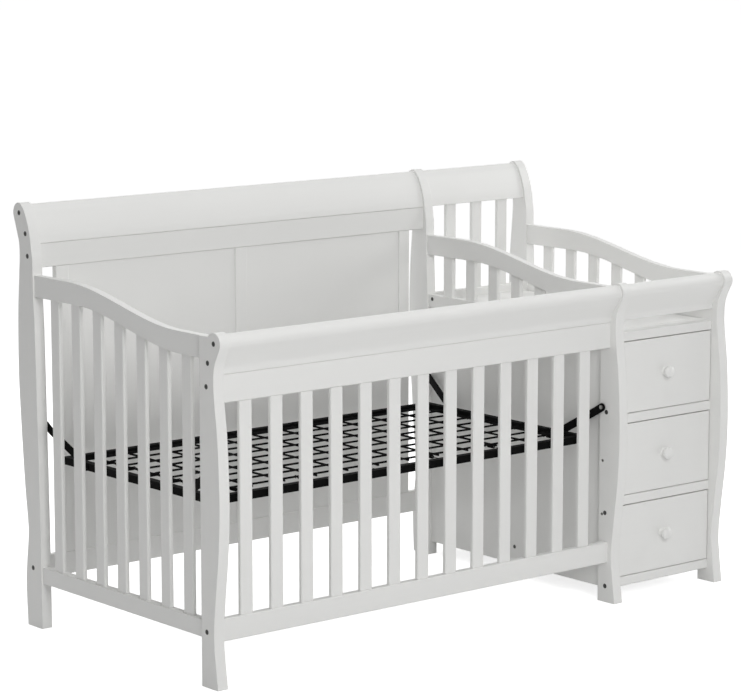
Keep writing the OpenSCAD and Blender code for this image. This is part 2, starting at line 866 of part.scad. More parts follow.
// Turned outline of a knob: [radius, distance from the drawer's front]
knob_edge = [[12.5, 0], [12.5, 1.5], [10.5, 3], [8.8, 5.5], [8.8, 8], [11, 10.5],
             [14.5, 12.8], [16.5, 15.5], [17, 18.5], [16.4, 21.5], [14.2, 24.6],
             [10, 27], [5, 28.2]];

function knob_z(i) = drawer_z(i) + drawer_front_h / 2 + knob_rise;

module drawer_front(i) {
    z0 = drawer_z(i);
    color(paint) seated() difference() {
        translate([x_chest + drawer_gap, rail_y, z0])
            cube([drawer_front_w, front_t, drawer_front_h]);
        translate([x_chest + chest_in / 2, rail_y - 1, knob_z(i)])
            rotate([-90, 0, 0]) cylinder(h = front_t + 2, r = knob_screw_r + bolt_gap);
        drawer_base_block(i, fit_gap);
    }
}

module drawer_base_block(i, gap) {
    in = box_t - groove_d;
    translate([box_x + in - gap, box_y - groove_d - gap, drawer_z(i) + box_rise + 8 - gap])
        cube([box_w - 2 * in + 2 * gap, box_d + groove_d - in + 2 * gap, base_t + 2 * gap]);
}

module drawer_box(i) {
    z0 = drawer_z(i) + box_rise;
    color(paint) seated() difference() {
        union() {
            for (x = [box_x, box_x + box_w - box_t])
                translate([x, box_y, z0]) cube([box_t, box_d, box_h]);
            translate([box_x + box_t + glue, box_y + box_d - box_t, z0])
                cube([box_w - 2 * box_t - 2 * glue, box_t, box_h]);
        }
        drawer_base_block(i, fit_gap);
    }
}

module drawer_base(i) {
    color(paint) seated() drawer_base_block(i, 0);
}

module drawer_runners(i) {
    color(bright_steel) seated() runner_pair(i) moving_runner();
}

module drawer_knob(i) {
    share_r = knob_r / 17;
    share_l = knob_l / 28.5;
    color(paint) seated()
        translate([x_chest + chest_in / 2, rail_y, knob_z(i)])
            rotate([90, 0, 0]) {
                difference() {
                    rotate_extrude() polygon(concat([[0, 0]],
                        [for (p = knob_edge) [p[0] * share_r, p[1] * share_l]],
                        [[0, knob_l]]));
                    translate([0, 0, -1]) cylinder(h = 15, r = knob_screw_r + bolt_gap);
                }
                translate([0, 0, -front_t - 2]) cylinder(h = 2, r = 4.5);
                translate([0, 0, -front_t]) cylinder(h = front_t + 13, r = knob_screw_r);
            }
}

module top_drawer_front() { drawer_front(2); }
module top_drawer_box() { drawer_box(2); }
module top_drawer_base() { drawer_base(2); }
module top_drawer_runners() { drawer_runners(2); }
module top_drawer_knob() { drawer_knob(2); }
module middle_drawer_front() { drawer_front(1); }
module middle_drawer_box() { drawer_box(1); }
module middle_drawer_base() { drawer_base(1); }
module middle_drawer_runners() { drawer_runners(1); }
module middle_drawer_knob() { drawer_knob(1); }
module bottom_drawer_front() { drawer_front(0); }
module bottom_drawer_box() { drawer_box(0); }
module bottom_drawer_base() { drawer_base(0); }
module bottom_drawer_runners() { drawer_runners(0); }
module bottom_drawer_knob() { drawer_knob(0); }

// ---------- mattress support ----------

module mattress_frame() {
    z0 = deck_z - angle_w;
    color(black_steel) seated() translate([deck_x0, deck_y0, z0]) difference() {
        cube([deck_l, deck_w, angle_w]);
        translate([angle_t, angle_t, -angle_t])
            cube([deck_l - 2 * angle_t, deck_w - 2 * angle_t, angle_w]);
        translate([angle_w, angle_w, -1])
            cube([deck_l - 2 * angle_w, deck_w - 2 * angle_w, angle_w + 2]);
        for (x = [-1, deck_l - angle_t - 1], y = [rivet_front_y, rivet_back_y])
            translate([x, y - deck_y0, angle_w / 2]) rotate([0, 90, 0])
                cylinder(h = angle_t + 2, r = rivet_r);
    }
}

// Places of "count" things, "pitch" apart, centred on "middle"
function row(count, pitch, middle) = [for (i = [0 : count - 1])
    middle + (i - (count - 1) / 2) * pitch];

long_y = row(long_count, long_pitch, mid_y);
cross_x = row(cross_count, cross_pitch, mid_x);

module rod_y(x, y, length, z, r) {
    translate([x, y, z]) rotate([-90, 0, 0]) cylinder(h = length, r = r);
}

// Long wires lie on the cross wires and are welded to them
module wire_grid() {
    over = wire_d / 2 + 1;
    last_x = cross_x[cross_count - 1];
    last_y = long_y[long_count - 1];
    color(black_steel) seated() union() {
        for (y = long_y)
            rod_x(cross_x[0] - over, last_x - cross_x[0] + 2 * over, y, long_z, wire_d / 2);
        for (x = cross_x)
            rod_y(x, long_y[0] - over, last_y - long_y[0] + 2 * over, cross_z, wire_d / 2);
    }
}

// A coil spring along +X from the frame's flange, whose edge is at the origin, to the grid's
// outer wire "reach" away and "drop" lower; the coils are one solid body
module spring_link(reach, drop) {
    rod_x(-hook_lap, reach + hook_lap, 0, 0, hook_r);
    rod_x((reach - link_l) / 2, link_l, 0, 0, link_r);
    if (drop > 0)
        translate([reach - hook_r, 0, -drop]) cylinder(h = drop, r = hook_r);
}

module spring_links() {
    z = deck_z + hook_r + hook_gap;
    reach_y = long_y[0] - wire_d / 2 - hook_gap - deck_y0 - angle_w;
    drop = z - cross_z - wire_d / 2 - hook_gap;
    far_x = cross_x[0] + hook_r - deck_x0 - angle_w;
    color(black_steel) seated() {
        for (x = row(link_count, link_pitch, mid_x)) {
            translate([x, deck_y0 + angle_w, z]) rotate([0, 0, 90]) spring_link(reach_y, 0);
            translate([x, deck_y1 - angle_w, z]) rotate([0, 0, -90]) spring_link(reach_y, 0);
        }
        for (y = row(end_link_count, end_link_pitch, mid_y - long_pitch / 4)) {
            translate([deck_x0 + angle_w, y, z]) spring_link(far_x, drop);
            translate([deck_x1 - angle_w, y, z]) mirror([1, 0, 0]) spring_link(far_x, drop);
        }
    }
}

// A hanger strap: its rivet hole at the origin, rising along +Y, stepping out along +X so that
// its foot lies on the frame's side and its head just clear of the post
module hanger_strap() {
    length = norm([strap_run, strap_rise]);
    deep = joggle + strap_t + 2;
    flat = strap_w;
    rotate([atan2(strap_rise, strap_run), 0, 0]) difference() {
        intersection() {
            translate([0, 0, -strap_w / 2]) linear_extrude(strap_w)
                polygon([[0, -strap_w], [0, flat], [joggle, length - flat],
                         [joggle, length + strap_w], [joggle + strap_t, length + strap_w],
                         [joggle + strap_t, length - flat], [strap_t, flat],
                         [strap_t, -strap_w]]);
            union() {
                rod_x(-1, deep, 0, 0, strap_w / 2);
                translate([-1, 0, -strap_w / 2]) cube([deep, length, strap_w]);
                rod_x(-1, deep, length, 0, strap_w / 2);
            }
        }
        rod_x(-1, strap_t + 2, 0, 0, rivet_r);
        rod_x(joggle - 1, strap_t + 2, length, 0, strap_hole_r);
    }
}

module hanger_straps() {
    color(black_steel) seated()
        for (left = [0, 1], front = [0, 1])
            translate([left == 1 ? deck_x0 : deck_x1,
                       front == 1 ? rivet_front_y : rivet_back_y, rivet_z])
                mirror([left, 0, 0]) mirror([0, front, 0]) hanger_strap();
}

module strap_rivets() {
    shank = angle_t + strap_t;
    color(black_steel) seated()
        for (y = [rivet_front_y, rivet_back_y]) {
            rod_x(deck_x0 - strap_t, shank, y, rivet_z, rivet_r);
            rod_x(deck_x0 - strap_t - 2, 2, y, rivet_z, rivet_r + 2);
            rod_x(deck_x1 - angle_t, shank, y, rivet_z, rivet_r);
            rod_x(deck_x1 + strap_t, 2, y, rivet_z, rivet_r + 2);
        }
}

module hanger_bolts() {
    shank = strap_t + hang_gap + blind_d - 2;
    reach = hang_gap + strap_t;
    color(bright_steel) seated()
        for (y = [hang_front_y, hang_back_y]) {
            rod_x(x_crib + reach - shank, shank, y, hang_z, bolt_r);
            rod_x(x_crib + reach, head_h, y, hang_z, hang_head_r);
            rod_x(x_mid - reach, shank, y, hang_z, bolt_r);
            rod_x(x_mid - reach - head_h, head_h, y, hang_z, hang_head_r);
        }
}

// Threaded inserts in the posts; the ones in use carry a collar that holds the strap clear
module hanger_inserts() {
    color(dark_steel) seated()
        for (y = [hang_front_y, hang_back_y], z = hang_heights, left = [0, 1]) {
            face = left == 1 ? x_crib : x_mid;
            way = left == 1 ? -1 : 1;
            proud = z == hang_z ? hang_gap : 0;
            difference() {
                union() {
                    rod_x(min(face, face + way * insert_l), insert_l, y, z, insert_r);
                    if (proud > 0)
                        rod_x(min(face, face - way * proud), proud, y, z, collar_r);
                }
                rod_x(face - 20, 40, y, z, bolt_r + bolt_gap);
            }
        }
}

// ---------- bolts of the wooden frame ----------

// A bolt whose head lies in its pit on the left (-1) or right (1) face of a post
module frame_bolt(x0, s, pit) {
    length = post_t - head_h + bolt_in - 4;
    difference() {
        rod_x(pit < 0 ? x0 : x0 + post_t - head_h, head_h, s[0], s[1], head_r);
        translate([pit < 0 ? x0 - 1 : x0 + post_t - socket_d, s[0], s[1]])
            rotate([0, 90, 0]) cylinder(h = socket_d + 1, r = socket_r, $fn = 6);
    }
    rod_x(pit < 0 ? x0 + head_h : x0 + post_t - head_h - length, length, s[0], s[1], bolt_r);
}

module crib_bolts() {
    color(dark_steel) seated() {
        for (s = concat(front_bolts, back_bolts)) {
            frame_bolt(0, s, -1);
            frame_bolt(x_mid, s, 1);
        }
        for (s = concat(chest_front_bolts, chest_back_bolts))
            frame_bolt(x_right, s, 1);
        frame_bolt(x_mid, apron_bolt, -1);
        side_screw(x_mid + end_inset, side_screws[0], 0);
        side_screw(x_chest - side_t, side_screws[1], 0);
    }
}

// A barrel nut across a bolt, in its pit; the bolt passes through its hole
module barrel_nut(x, s) {
    difference() {
        translate([x, s[0] - nut_r, s[1]]) rotate([-90, 0, 0])
            cylinder(h = 2 * nut_r, r = nut_r);
        rod_x(x - nut_r - 1, 2 * nut_r + 2, s[0], s[1], bolt_r + bolt_gap);
    }
}

module barrel_nuts() {
    color(bright_steel) seated()
        for (s = [front_bolts[2], front_bolts[3], back_bolts[2], back_bolts[3]],
             x = [x_crib + nut_x, x_mid - nut_x])
            barrel_nut(x, s);
}

post_front_left();
post_front_middle();
post_front_right();
post_back_left();
post_back_middle();
post_back_right();
left_end_top_rail();
left_end_bottom_rail();
left_end_slats();
middle_end_top_rail();
middle_end_guard_rail();
middle_end_slats();
right_end_top_rail();
right_end_guard_rail();
right_end_slats();
front_crest();
front_top_board();
front_slats();
front_bottom_rail();
headboard_crest();
headboard_top_board();
headboard_stiles();
headboard_panels();
headboard_bottom_rail();
changer_back_crest();
changer_back_slats();
changer_back_rail();
changer_front_crest();
changing_tray();
tray_cleats();
chest_side_panels();
chest_back_panel();
chest_cross_rails();
chest_bottom();
chest_runners();
mattress_frame();
wire_grid();
spring_links();
hanger_straps();
strap_rivets();
hanger_bolts();
hanger_inserts();
crib_bolts();
barrel_nuts();
top_drawer_front();
top_drawer_box();
top_drawer_base();
top_drawer_runners();
top_drawer_knob();
middle_drawer_front();
middle_drawer_box();
middle_drawer_base();
middle_drawer_runners();
middle_drawer_knob();
bottom_drawer_front();
bottom_drawer_box();
bottom_drawer_base();
bottom_drawer_runners();
bottom_drawer_knob();
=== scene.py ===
# %% [markdown]
# # A white crib with an attached changer
# The timber frame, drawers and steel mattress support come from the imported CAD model, already
# in metres and in place. This lesson gives them paint, steel and lacquer, winds the coil
# springs of the support, turns two bolt heads, and sets a plain studio round them.

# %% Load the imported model
import math

import bpy
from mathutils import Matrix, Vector


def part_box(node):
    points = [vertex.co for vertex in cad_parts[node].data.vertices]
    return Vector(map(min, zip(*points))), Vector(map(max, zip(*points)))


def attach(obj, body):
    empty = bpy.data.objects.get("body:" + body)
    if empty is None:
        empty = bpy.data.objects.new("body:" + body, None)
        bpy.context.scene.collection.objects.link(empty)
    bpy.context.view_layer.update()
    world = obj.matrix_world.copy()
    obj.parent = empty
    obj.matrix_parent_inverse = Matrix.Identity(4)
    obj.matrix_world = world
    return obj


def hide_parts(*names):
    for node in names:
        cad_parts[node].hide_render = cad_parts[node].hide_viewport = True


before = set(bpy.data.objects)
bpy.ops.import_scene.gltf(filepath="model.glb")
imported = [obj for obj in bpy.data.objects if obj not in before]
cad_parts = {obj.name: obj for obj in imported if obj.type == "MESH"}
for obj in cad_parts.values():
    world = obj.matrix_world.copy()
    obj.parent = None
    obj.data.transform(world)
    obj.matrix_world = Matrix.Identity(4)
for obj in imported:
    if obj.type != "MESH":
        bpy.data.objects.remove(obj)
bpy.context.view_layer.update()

# %% [markdown]
# ## Working with nodes
# Every finish below is a small network of shader nodes. One helper places a node, sets its
# plain values and joins its inputs, and a second one does sums, so each finish reads as a list
# of what feeds what.

# %% Helpers that place a node
def place(tree, kind, links=(), **values):
    """Adds a node of this kind, sets plain values by socket or property name, and joins inputs."""
    node = tree.nodes.new(kind)
    for name, value in values.items():
        if hasattr(node, name):
            setattr(node, name, value)
        else:
            node.inputs[name.replace("_", " ")].default_value = value
    for name, source in dict(links).items():
        tree.links.new(source, node.inputs[name])
    return node


def reckon(tree, operation, first, second, **values):
    """Adds a Math node for two terms, each a plain number or another node's output."""
    node = place(tree, "ShaderNodeMath", operation=operation, **values)
    for socket, term in zip(node.inputs, (first, second)):
        if isinstance(term, float):
            socket.default_value = term
        else:
            tree.links.new(term, socket)
    return node.outputs[0]


print("helpers:", place.__name__, reckon.__name__)

# %% [markdown]
# ## Groups
# An effect that several finishes share is built once as a node group. Its inputs are the dials
# that each finish sets for itself.

# %% A helper that starts a group
FLOAT, COLOR, VECTOR = "NodeSocketFloat", "NodeSocketColor", "NodeSocketVector"


def new_group(name, inputs, outputs):
    """Starts a shader node group with named sockets: (name, kind) or (name, kind, default)."""
    group = bpy.data.node_groups.new(name, "ShaderNodeTree")
    for entry in inputs:
        socket = group.interface.new_socket(entry[0], in_out="INPUT", socket_type=entry[1])
        if len(entry) > 2:
            socket.default_value = entry[2]
    for entry in outputs:
        group.interface.new_socket(entry[0], in_out="OUTPUT", socket_type=entry[1])
    given = group.nodes.new("NodeGroupInput")
    result = group.nodes.new("NodeGroupOutput")
    return group, given, result


print("socket kinds:", FLOAT, COLOR, VECTOR)

# %% [markdown]
# ## The skin of sprayed paint
# Sprayed satin paint is never perfectly even. It drifts a little in tone over the length of a
# board, it has a fine pebbled skin, and where the wood under it has grain the skin sinks by a
# hair along the fibres. Photographs or hand painting could show this, but noise that is
# stretched along the board does it for every board at once, so that is the way here.

# %% A group for the paint's skin
CLOUD_SCALE = 2.4
PEBBLE_SCALE = 900.0
PEBBLE_SHARE = 0.25
SHEEN_DRIFT = 0.05
NOISE_MEAN = 0.5


def make_paint_skin():
    group, given, result = new_group(
        "sprayed paint skin",
        [("Colour", COLOR, (0.8, 0.8, 0.8, 1)), ("Drift", FLOAT, 0.03),
         ("Grain Scale", VECTOR, (4, 60, 60)), ("Grain Depth", FLOAT, 0.3),
         ("Roughness", FLOAT, 0.45)],
        [("Colour", COLOR), ("Roughness", FLOAT), ("Height", FLOAT)])
    where = place(group, "ShaderNodeTexCoord").outputs["Object"]
    along = place(group, "ShaderNodeVectorMath", {0: where, 1: given.outputs["Grain Scale"]},
                  operation="MULTIPLY").outputs[0]
    fibres = place(group, "ShaderNodeTexNoise", {"Vector": along}, Scale=1.0, Detail=5.0,
                   Roughness=0.6).outputs[0]
    cloud = place(group, "ShaderNodeTexNoise", {"Vector": where}, Scale=CLOUD_SCALE,
                  Detail=2.0).outputs[0]
    pebble = place(group, "ShaderNodeTexNoise", {"Vector": where}, Scale=PEBBLE_SCALE,
                   Detail=1.0).outputs[0]

    # Two noises added swing round twice their mean, so that is taken off again.
    both = reckon(group, "ADD", cloud, fibres)
    swing = reckon(group, "SUBTRACT", both, 2 * NOISE_MEAN)
    drift = reckon(group, "MULTIPLY", swing, given.outputs["Drift"])
    factor = reckon(group, "ADD", drift, 1.0)
    tinted = place(group, "ShaderNodeVectorMath",
                   {0: given.outputs["Colour"], "Scale": factor}, operation="SCALE")
    group.links.new(tinted.outputs[0], result.inputs["Colour"])

    sheen = place(group, "ShaderNodeMapRange", {"Value": cloud}, To_Min=-SHEEN_DRIFT,
                  To_Max=SHEEN_DRIFT).outputs[0]
    rough = reckon(group, "ADD", sheen, given.outputs["Roughness"])
    group.links.new(rough, result.inputs["Roughness"])

    sunk = reckon(group, "MULTIPLY", fibres, given.outputs["Grain Depth"])
    pebbled = reckon(group, "MULTIPLY", pebble, PEBBLE_SHARE)
    group.links.new(reckon(group, "ADD", sunk, pebbled), result.inputs["Height"])
    return group


paint_skin = make_paint_skin()
print("paint skin:", len(paint_skin.nodes), "nodes")

# %% [markdown]
# ## Eased edges
# No painted board has a knife edge: it is sanded round before painting, and the paint is a
# little thinner there. The Bevel node rounds the shading of an edge without new faces, and
# comparing its normal with the true one finds where the edges are.

# %% A group for eased edges
BEVEL_SAMPLES = 6
EDGE_MATCH = 0.75


def make_eased_edge():
    group, given, result = new_group(
        "eased edge", [("Radius", FLOAT, 0.002)], [("Normal", VECTOR), ("Edge", FLOAT)])
    bevel = place(group, "ShaderNodeBevel", {"Radius": given.outputs["Radius"]},
                  samples=BEVEL_SAMPLES)
    true = place(group, "ShaderNodeNewGeometry").outputs["Normal"]
    match = place(group, "ShaderNodeVectorMath", {0: bevel.outputs[0], 1: true},
                  operation="DOT_PRODUCT").outputs["Value"]
    mask = place(group, "ShaderNodeMapRange", {"Value": match}, From_Min=1.0,
                 From_Max=EDGE_MATCH, To_Min=0.0, To_Max=1.0)
    group.links.new(bevel.outputs[0], result.inputs["Normal"])
    group.links.new(mask.outputs[0], result.inputs["Edge"])
    return group


eased_edge = make_eased_edge()
print("eased edge:", len(eased_edge.nodes), "nodes")

# %% [markdown]
# ## From a skin to a material
# Paint and steel are put together alike: the skin's colour and roughness go to the shader, and
# its height becomes a very low relief. Two small functions do this for every finish.

# %% Start a material and cover it with a skin
def start_material(name):
    """A new material, its node tree and the Principled shader in it."""
    material = bpy.data.materials.new(name)
    material.use_nodes = True
    return material, material.node_tree, material.node_tree.nodes["Principled BSDF"]


def cover(tree, shader, skin, strength, relief, rounded=()):
    """Joins a skin to the shader, with its height as a bump on the rounded normal, if any."""
    bump = place(tree, "ShaderNodeBump", {"Height": skin.outputs["Height"], **dict(rounded)},
                 Strength=strength, Distance=relief)
    tree.links.new(skin.outputs["Colour"], shader.inputs["Base Color"])
    tree.links.new(skin.outputs["Roughness"], shader.inputs["Roughness"])
    tree.links.new(bump.outputs["Normal"], shader.inputs["Normal"])


print("material helpers:", start_material.__name__, cover.__name__)

# %% [markdown]
# ## White paint
# The same white covers every board, but the grain below it runs along the board: along X in
# the rails, along Z in posts, slats and stiles, and along Y in the rails of the ends. Sheet
# panels show no grain. So one function makes one material for each run of the grain.

# %% Paint materials
PAINT = (0.80, 0.80, 0.785, 1)
THIN_PAINT = (0.77, 0.768, 0.745, 1)
PAINT_ROUGHNESS = 0.42
PAINT_DRIFT = 0.02
PAINT_BUMP, PAINT_RELIEF = 0.25, 0.0004
EASED = 0.0018
BOARD_DEPTH, SHEET_DEPTH = 0.5, 0.1
LONG, CROSS, EVEN = 3.0, 120.0, 6.0
GRAIN = {"along X": (LONG, CROSS, CROSS), "along Y": (CROSS, LONG, CROSS),
         "along Z": (CROSS, CROSS, LONG), "sheet": (EVEN, EVEN, EVEN)}


def make_paint(run):
    material, tree, shader = start_material("white paint " + run)
    edge = place(tree, "ShaderNodeGroup", node_tree=eased_edge, Radius=EASED)
    worn = place(tree, "ShaderNodeMix", {"Factor": edge.outputs["Edge"]}, data_type="RGBA")
    worn.inputs["A"].default_value = PAINT
    worn.inputs["B"].default_value = THIN_PAINT
    depth = SHEET_DEPTH if run == "sheet" else BOARD_DEPTH
    skin = place(tree, "ShaderNodeGroup", node_tree=paint_skin, Drift=PAINT_DRIFT,
                 Grain_Scale=GRAIN[run], Grain_Depth=depth, Roughness=PAINT_ROUGHNESS)
    tree.links.new(worn.outputs["Result"], skin.inputs["Colour"])
    cover(tree, shader, skin, PAINT_BUMP, PAINT_RELIEF, {"Normal": edge.outputs["Normal"]})
    return material


paint = {run: make_paint(run) for run in GRAIN}
print("paints:", sorted(paint))

# %% [markdown]
# ## Steel and lacquer
# The mattress support is black powder-coated steel, which is matt and faintly pebbled. The
# bolts are dark and a little shinier, the threaded inserts are lighter, and the barrel nuts
# are bare. The runners are white coated steel, and the turned knobs are lacquered. All share
# the skin group of the paint, with other values.

# %% Steel and lacquer materials
COAT_DEPTH = 0.2
COAT_BUMP, COAT_RELIEF = 0.3, 0.0003


def make_coat(name, colour, roughness, metallic=0.0, drift=0.1, specular=0.5):
    material, tree, shader = start_material(name)
    shader.inputs["Metallic"].default_value = metallic
    shader.inputs["Specular IOR Level"].default_value = specular
    skin = place(tree, "ShaderNodeGroup", node_tree=paint_skin, Colour=colour, Drift=drift,
                 Grain_Scale=GRAIN["sheet"], Grain_Depth=COAT_DEPTH, Roughness=roughness)
    cover(tree, shader, skin, COAT_BUMP, COAT_RELIEF)
    return material


black_coat = make_coat("black powder coat", (0.004, 0.004, 0.004, 1), 0.65, specular=0.05)
dark_bolt = make_coat("dark bolt", (0.05, 0.05, 0.047, 1), 0.38, metallic=0.4)
insert_steel = make_coat("insert steel", (0.30, 0.30, 0.28, 1), 0.45, metallic=0.3)
bare_steel = make_coat("bare steel", (0.55, 0.55, 0.53, 1), 0.35, metallic=1.0)
white_coat = make_coat("white coated steel", (0.62, 0.62, 0.60, 1), 0.35, drift=0.04)
lacquer = make_coat("lacquered knob", (0.79, 0.79, 0.775, 1), 0.42, drift=0.01)
coats = (black_coat, dark_bolt, insert_steel, bare_steel, white_coat, lacquer)
print("coats:", [coat.name for coat in coats])

# %% [markdown]
# ## Give each board its finish
# Each node of the CAD model is named for its piece, so a few names and parts of names are
# enough to find the finish of every one, and the run of its grain.

# %% Finish for every node
SUPPORT = ("mattress_frame", "wire_grid", "spring_links", "hanger_straps", "strap_rivets")
SHEETS = ("headboard_panels", "changing_tray", "chest_side_panels", "chest_back_panel",
          "chest_bottom")


def finish_for(name):
    if name in SUPPORT:
        return black_coat
    if name == "crib_bolts":
        return dark_bolt
    if name == "hanger_inserts":
        return insert_steel
    if name in ("barrel_nuts", "hanger_bolts"):
        return bare_steel
    if name.endswith("runners"):
        return white_coat
    if name.endswith("knob"):
        return lacquer
    if name in SHEETS or name.endswith("drawer_base"):
        return paint["sheet"]
    if "post" in name or "slats" in name or name == "headboard_stiles":
        return paint["along Z"]
    if "_end_" in name or name == "tray_cleats" or name.endswith("drawer_box"):
        return paint["along Y"]
    return paint["along X"]


for name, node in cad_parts.items():
    piece = bpy.data.objects[name] if isinstance(node, str) else node
    for slot in piece.material_slots:
        slot.link = "OBJECT"
        slot.material = finish_for(name)
print("finished nodes:", len(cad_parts))

# %% [markdown]
# ## Where the coil springs hang
# The wire grid that carries the mattress hangs in its steel frame by short coil springs, hooked
# into the frame's flange and round the grid's outer wires. The CAD model holds each one as a
# plain cylinder. Their places could be typed in one by one, but they follow from the boxes of
# the frame and the grid, so a row along each side is reckoned from those.

# %% Seats of the springs
FLANGE = 0.020
LINK_R = 0.005
GRID_WIRE = 0.0055
OVERHANG = GRID_WIRE / 2 + 0.001
ALONG_COUNT, ALONG_PITCH = 6, 0.217
ACROSS_COUNT, ACROSS_PITCH, ACROSS_SHIFT = 5, 0.0995, -0.0166
frame_low, frame_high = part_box("mattress_frame")
grid_low, grid_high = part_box("wire_grid")
links_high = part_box("spring_links")[1]
middle = (frame_low + frame_high) / 2
axis_z = links_high[2] - LINK_R
long_wire_z = grid_high[2] - GRID_WIRE / 2
cross_wire_z = grid_low[2] + GRID_WIRE / 2


def row(count, pitch, centre):
    """Places of "count" things, "pitch" apart, round a centre."""
    return [centre + (i - (count - 1) / 2) * pitch for i in range(count)]


seats = []
reach = grid_low[1] + OVERHANG - frame_low[1] - FLANGE
for x in row(ALONG_COUNT, ALONG_PITCH, middle[0]):
    for y, inward in ((frame_low[1] + FLANGE, 1), (frame_high[1] - FLANGE, -1)):
        seats.append((Vector((x, y, axis_z)), Vector((0, inward, 0)), reach, long_wire_z))
reach = grid_low[0] + OVERHANG - frame_low[0] - FLANGE
for y in row(ACROSS_COUNT, ACROSS_PITCH, middle[1] + ACROSS_SHIFT):
    for x, inward in ((frame_low[0] + FLANGE, 1), (frame_high[0] - FLANGE, -1)):
        seats.append((Vector((x, y, axis_z)), Vector((inward, 0, 0)), reach, cross_wire_z))
print("springs:", len(seats))

# %% [markdown]
# ## Winding a spring
# A spring is one wire: it hooks into the flange, runs out along the spring's axis, winds round
# it, runs back to the axis, and hooks round the grid's wire. A Screw modifier could wind the
# coils, but not the hooks. A curve object with a round section makes a wire of any path, so
# only the path has to be worked out, point by point.

# %% The path of one spring
SPRING_WIRE = 0.0017
COIL_R = LINK_R - SPRING_WIRE / 2
COILED = 0.028
TURNS = 11
STEPS = 14
FIRST_COIL = 0.25
LEAD = 0.003
HOOK_LAP = 0.006
HOOK_DROP = 0.004
HOOK_OPEN, HOOK_STEP = 120, 20
UP = Vector((0, 0, 1))


def spring_path(foot, along, reach, wire_z):
    """Hook in the flange, coils on the axis, hook round the grid's wire."""
    side = along.cross(UP)
    start = (reach - COILED) / 2
    path = [foot - along * HOOK_LAP - UP * HOOK_DROP, foot - along * HOOK_LAP,
            foot + along * (start - LEAD)]
    for step in range(TURNS * STEPS + 1):
        turn = step / STEPS
        angle = 2 * math.pi * turn
        near_end = min(turn, TURNS - turn)
        radius = COIL_R * min(1.0, FIRST_COIL + near_end)
        path.append(foot + along * (start + COILED * turn / TURNS)
                    + side * (radius * math.sin(angle)) + UP * (radius * math.cos(angle)))
    path.append(foot + along * (reach - start + LEAD))
    centre = foot + along * reach
    centre.z = wire_z
    bend = GRID_WIRE / 2 + SPRING_WIRE / 2
    for degrees in range(HOOK_OPEN, -HOOK_OPEN - 1, -HOOK_STEP):
        angle = math.radians(degrees)
        path.append(centre + along * (bend * math.cos(angle)) + UP * (bend * math.sin(angle)))
    return path


paths = [spring_path(*seat) for seat in seats]
print("points in a spring:", len(paths[0]))

# %% [markdown]
# ## All springs as one object
# The CAD model's plain cylinders are one node, and the wound springs take its place. One curve
# can hold every spring as a spline of its own, so they are one object as well.

# %% Wind all the springs
wire = bpy.data.curves.new("spring wire", "CURVE")
wire.dimensions = "3D"
wire.bevel_depth = SPRING_WIRE / 2
wire.bevel_resolution = 1
wire.use_fill_caps = True
for path in paths:
    spline = wire.splines.new("POLY")
    spline.points.add(len(path) - 1)
    for point, corner in zip(spline.points, path):
        point.co = (*corner, 1)
springs = bpy.data.objects.new("coil_springs", wire)
bpy.context.collection.objects.link(springs)
wire.materials.append(black_coat)
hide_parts("spring_links")
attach(springs, "crib_and_chest")
print("springs wound:", len(wire.splines))

# %% [markdown]
# ## Bolt heads on the middle post
# Two more bolts join the front middle post to the chest, and only their heads show, on the face
# that looks into the crib. A head is turned like on a lathe: an outline of distances from the
# post and from the bolt's axis goes round that axis, with a socket sunk in the middle.

# %% Turn the bolt heads
HEAD_SPOTS = [(-0.393, 0.534), (-0.392, 0.252)]
HEAD_OUTLINE = [(-0.0002, 0.0063), (0.0005, 0.0063), (0.0012, 0.0054), (0.0012, 0.0030),
                (0.0003, 0.0027)]
HEAD_SIDES = 32


def turned_head(face_x, y, z):
    """Points and faces of one head on a face that looks along -X."""
    points, faces = [], []
    for out, radius in HEAD_OUTLINE:
        for side in range(HEAD_SIDES):
            angle = 2 * math.pi * side / HEAD_SIDES
            points.append((face_x - out, y + radius * math.cos(angle),
                           z + radius * math.sin(angle)))
    for ring in range(len(HEAD_OUTLINE) - 1):
        for side in range(HEAD_SIDES):
            here = ring * HEAD_SIDES + side
            beside = ring * HEAD_SIDES + (side + 1) % HEAD_SIDES
            faces.append((here, here + HEAD_SIDES, beside + HEAD_SIDES, beside))
    last_ring = (len(HEAD_OUTLINE) - 1) * HEAD_SIDES
    faces.append(tuple(range(HEAD_SIDES)))
    faces.append(tuple(reversed(range(last_ring, last_ring + HEAD_SIDES))))
    return points, faces


post_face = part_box("post_front_middle")[0][0]
points, faces = [], []
for y, z in HEAD_SPOTS:
    head_points, head_faces = turned_head(post_face, y, z)
    faces += [tuple(corner + len(points) for corner in face) for face in head_faces]
    points += head_points
head_mesh = bpy.data.meshes.new("bolt heads")
head_mesh.from_pydata(points, [], faces)
head_mesh.materials.append(dark_bolt)
heads = bpy.data.objects.new("bolt_heads", head_mesh)
bpy.context.collection.objects.link(heads)
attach(heads, "crib_and_chest")
print("bolt heads:", len(HEAD_SPOTS))

# %% [markdown]
# ## The studio
# The object stands on a wide white floor that takes its soft shadow. A second white, which only
# the camera and reflections see, lifts the floor to paper white. A brighter floor would do that
# too, but it would also light the object from below.

# %% Floor
FLOOR_SIZE = 200
FLOOR_GREY = (0.75, 0.75, 0.75, 1)
FLOOR_LIFT = 0.745
WHITE = (1, 1, 1, 1)


def seen_directly(tree):
    """Is 1 for what the camera sees itself, in a reflection or through glass, and 0 for light."""
    rays = place(tree, "ShaderNodeLightPath").outputs
    plain = reckon(tree, "ADD", rays["Is Camera Ray"], rays["Is Glossy Ray"])
    return reckon(tree, "ADD", plain, rays["Is Transmission Ray"], use_clamp=True)


